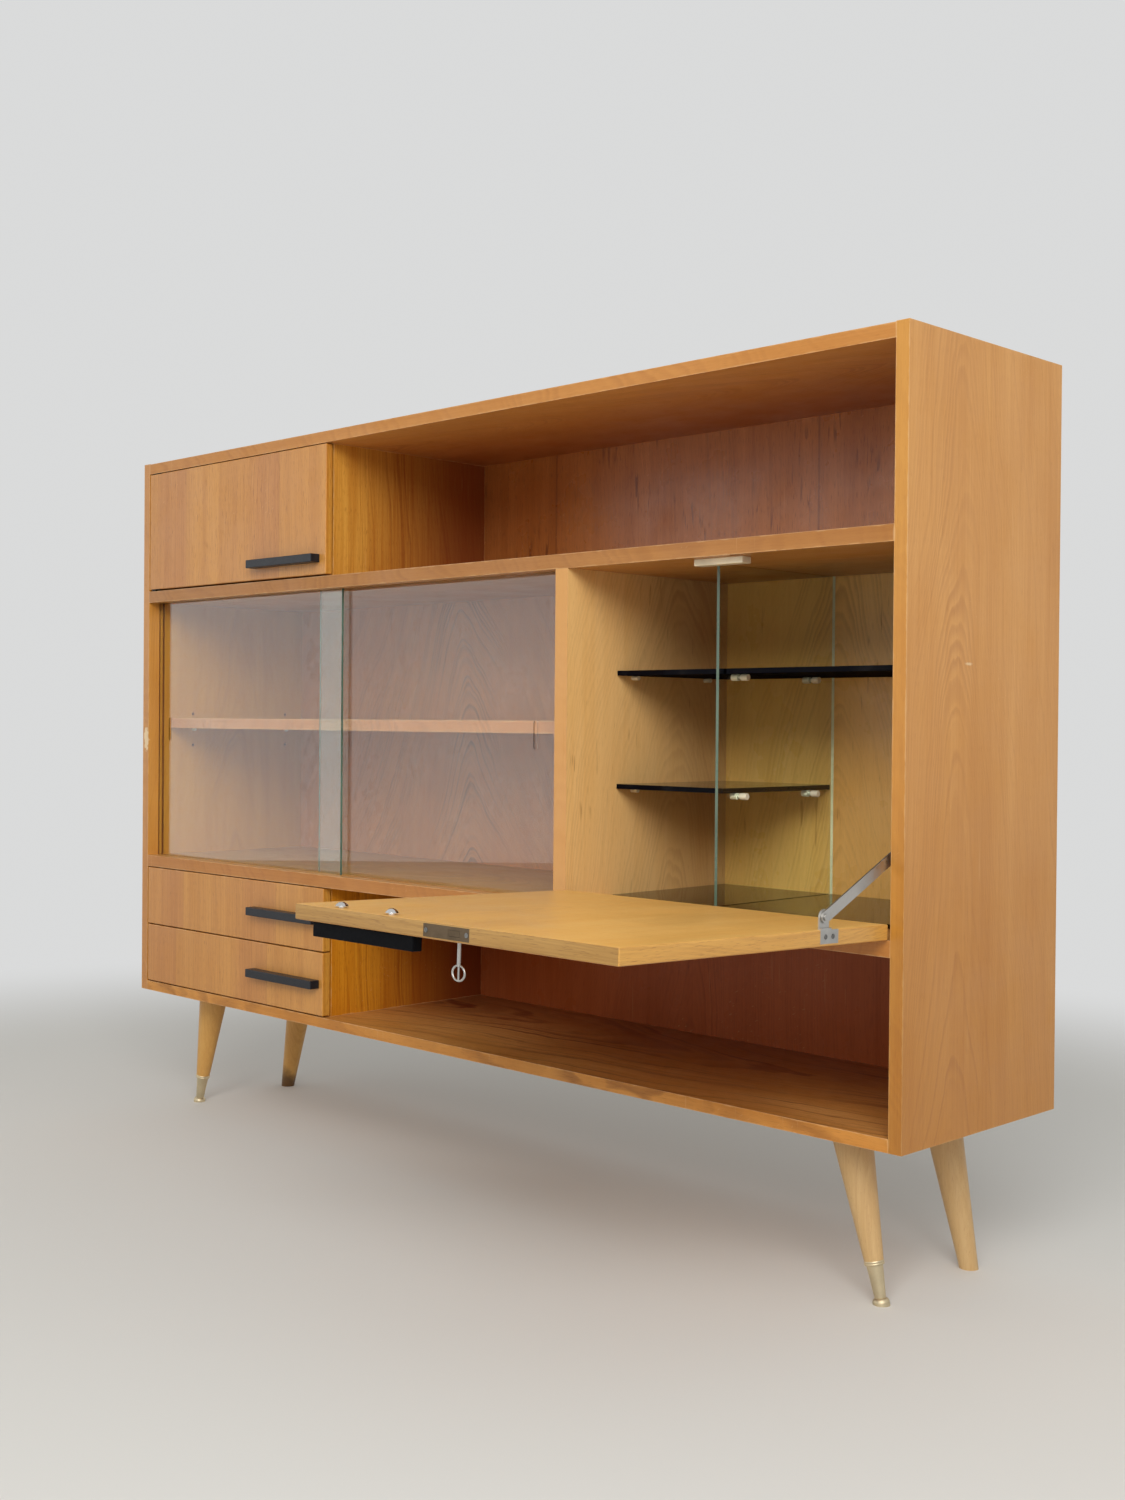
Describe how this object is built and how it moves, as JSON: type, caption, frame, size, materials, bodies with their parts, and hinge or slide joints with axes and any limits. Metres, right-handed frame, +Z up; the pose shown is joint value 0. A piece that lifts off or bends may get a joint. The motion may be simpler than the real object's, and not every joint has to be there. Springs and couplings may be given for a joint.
{
  "type": "bookcase sideboard",
  "caption": "Low veneered bookcase sideboard on splayed legs, with sliding glass doors, a cupboard, drawers, open bays and a drop-flap bar.",
  "frame": {"origin": "on the floor, at the middle of the bounding box with the flap open", "axes": "+X to the right as seen from the front, +Y from the front to the back, +Z up"},
  "size_m": [1.8, 0.8917, 1.2855],
  "materials": {
    "honey_veneer": "satin lacquer",
    "front_veneer": "satin lacquer",
    "pale_veneer": "satin lacquer",
    "dark_veneer": "satin lacquer",
    "beech": "satin",
    "clear_glass": "polished",
    "black_glass": "polished",
    "cream_plastic": "satin",
    "black_lacquer": "satin",
    "bright_steel": "polished",
    "grey_steel": "dull",
    "aged_brass": "aged"
  },
  "bodies": {
    "cabinet": {"side_panel_left": "honey_veneer", "side_panel_right": "honey_veneer", "top_panel": "honey_veneer", "bottom_panel": "honey_veneer", "upper_shelf": "honey_veneer", "lower_shelf": "honey_veneer", "cupboard_divider": "honey_veneer", "bar_divider": "pale_veneer", "drawer_divider": "honey_veneer", "back_panel_upper": "dark_veneer", "back_panel_display": "dark_veneer", "back_panel_bar": "pale_veneer", "back_panel_lower": "dark_veneer", "carcass_dowels": "beech", "display_shelf": "honey_veneer", "display_shelf_pins": "cream_plastic", "bar_glass_partition": "clear_glass", "bar_glass_shelves": "black_glass", "bar_floor_plates": "black_glass", "bar_shelf_supports": "cream_plastic", "flap_stop_block": "cream_plastic", "flap_hinge_shelf_leaves": "grey_steel", "flap_hinge_pins": "grey_steel", "door_pivot_pins": "grey_steel", "drawer_runners": "beech", "leg_front_left": "beech", "leg_front_right": "beech", "leg_rear_left": "beech", "leg_rear_right": "beech", "leg_ferrules": "aged_brass", "leg_bolts": "grey_steel", "stay_guide_stud": "grey_steel"},
    "cupboard_door": {"door_panel": "front_veneer", "door_handle": "black_lacquer", "door_handle_bolts": "bright_steel", "door_pivot_sockets": "grey_steel"},
    "drawer_upper": {"drawer_upper_front": "front_veneer", "drawer_upper_box": "beech", "drawer_upper_bottom": "beech", "drawer_upper_handle": "black_lacquer", "drawer_upper_handle_bolts": "bright_steel"},
    "drawer_lower": {"drawer_lower_front": "front_veneer", "drawer_lower_box": "beech", "drawer_lower_bottom": "beech", "drawer_lower_handle": "black_lacquer", "drawer_lower_handle_bolts": "bright_steel"},
    "glass_left": {"glass_door_left": "clear_glass"},
    "glass_right": {"glass_door_right": "clear_glass"},
    "flap": {"flap_panel": "pale_veneer", "flap_handle": "black_lacquer", "flap_handle_bolts": "bright_steel", "flap_hinge_flap_leaves": "grey_steel", "lock_case": "grey_steel", "flap_screws": "bright_steel", "stay_bracket": "grey_steel"},
    "lock_bolt": {"lock_bolt": "grey_steel"},
    "key": {"key": "grey_steel"},
    "stay_arm": {"stay_arm": "grey_steel"},
    "stay_guide": {"stay_guide": "grey_steel"}
  },
  "joints": [
    {"name": "cupboard_door_hinge", "type": "hinge", "parent": "cabinet", "child": "cupboard_door", "pos_m": [-0.868, 0.06439, 1.1475], "axis": [0, 0, -1], "range_deg": [0, 110]},
    {"name": "upper_drawer_slide", "type": "slide", "parent": "cabinet", "child": "drawer_upper", "axis": [0, -1, 0], "range_m": [0, 0.28]},
    {"name": "lower_drawer_slide", "type": "slide", "parent": "cabinet", "child": "drawer_lower", "axis": [0, -1, 0], "range_m": [0, 0.28]},
    {"name": "left_glass_slide", "type": "slide", "parent": "cabinet", "child": "glass_left", "axis": [1, 0, 0], "range_m": [0, 0.56]},
    {"name": "right_glass_slide", "type": "slide", "parent": "cabinet", "child": "glass_right", "axis": [-1, 0, 0], "range_m": [-0.035, 0.525]},
    {"name": "flap_hinge", "type": "hinge", "parent": "cabinet", "child": "flap", "pos_m": [0.59025, 0.05889, 0.4995], "axis": [-1, 0, 0], "range_deg": [0, 88.3]},
    {"name": "stay_arm_pivot", "type": "hinge", "parent": "flap", "child": "stay_arm", "pos_m": [0.875, -0.0735, 0.53895], "axis": [-1, 0, 0], "range_deg": [-44.2, 0]},
    {"name": "stay_guide_pivot", "type": "hinge", "parent": "cabinet", "child": "stay_guide", "pos_m": [0.878, 0.11507, 0.6257], "axis": [-1, 0, 0], "range_deg": [0, 44.2]},
    {"name": "key_turn", "type": "hinge", "parent": "flap", "child": "key", "pos_m": [0.58925, -0.4139, 0.51353], "axis": [0, 0.0297, 0.9996], "range_deg": [0, 90]},
    {"name": "lock_bolt_slide", "type": "slide", "parent": "flap", "child": "lock_bolt", "axis": [0, -0.9996, 0.0297], "range_m": [0, 0.0081]}
  ],
  "couplings": [
    {"joint": "stay_arm_pivot", "follows": "flap_hinge", "ratio": -0.5},
    {"joint": "stay_guide_pivot", "follows": "flap_hinge", "ratio": 0.5},
    {"joint": "lock_bolt_slide", "follows": "key_turn", "m_per_rad": 0.005093}
  ]
}
